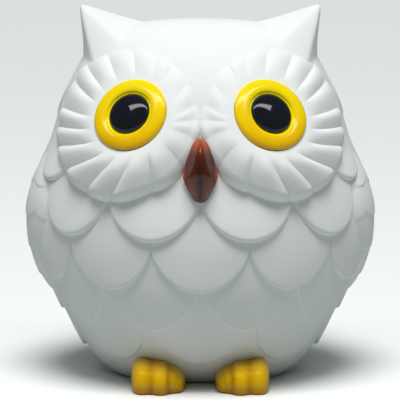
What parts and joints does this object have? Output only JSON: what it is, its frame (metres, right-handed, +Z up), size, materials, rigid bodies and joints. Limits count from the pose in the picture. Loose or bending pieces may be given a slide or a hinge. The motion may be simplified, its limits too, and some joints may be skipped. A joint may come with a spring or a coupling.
{
  "type": "owl figurine",
  "caption": "Round white bisque ceramic owl with facial discs, ear tufts, rows of scale-like breast feathers, side wings, and glazed yellow eyes, brown beak and yellow feet.",
  "frame": {"origin": "on the surface the figurine stands on, under the middle of its whole outline", "axes": "+Z up; the owl faces -Y; +X is the owl's own left"},
  "size_m": [0.1554, 0.135, 0.1636],
  "materials": {
    "white_bisque": "matte white bisque, fettled smooth",
    "yellow_glaze": "glossy bright yellow glaze, amber where it pools",
    "black_glaze": "glossy blue-black glaze",
    "brown_glaze": "glossy reddish brown glaze, thinner on the edges",
    "amber_glaze": "glossy yellow-amber glaze, darker between the toes"
  },
  "bodies": {
    "root": {"body_shell": "white_bisque", "left_wing": "white_bisque", "right_wing": "white_bisque", "tail": "white_bisque", "left_iris": "yellow_glaze", "right_iris": "yellow_glaze", "left_pupil": "black_glaze", "right_pupil": "black_glaze", "beak": "brown_glaze", "left_foot": "amber_glaze", "right_foot": "amber_glaze"}
  },
  "joints": []
}
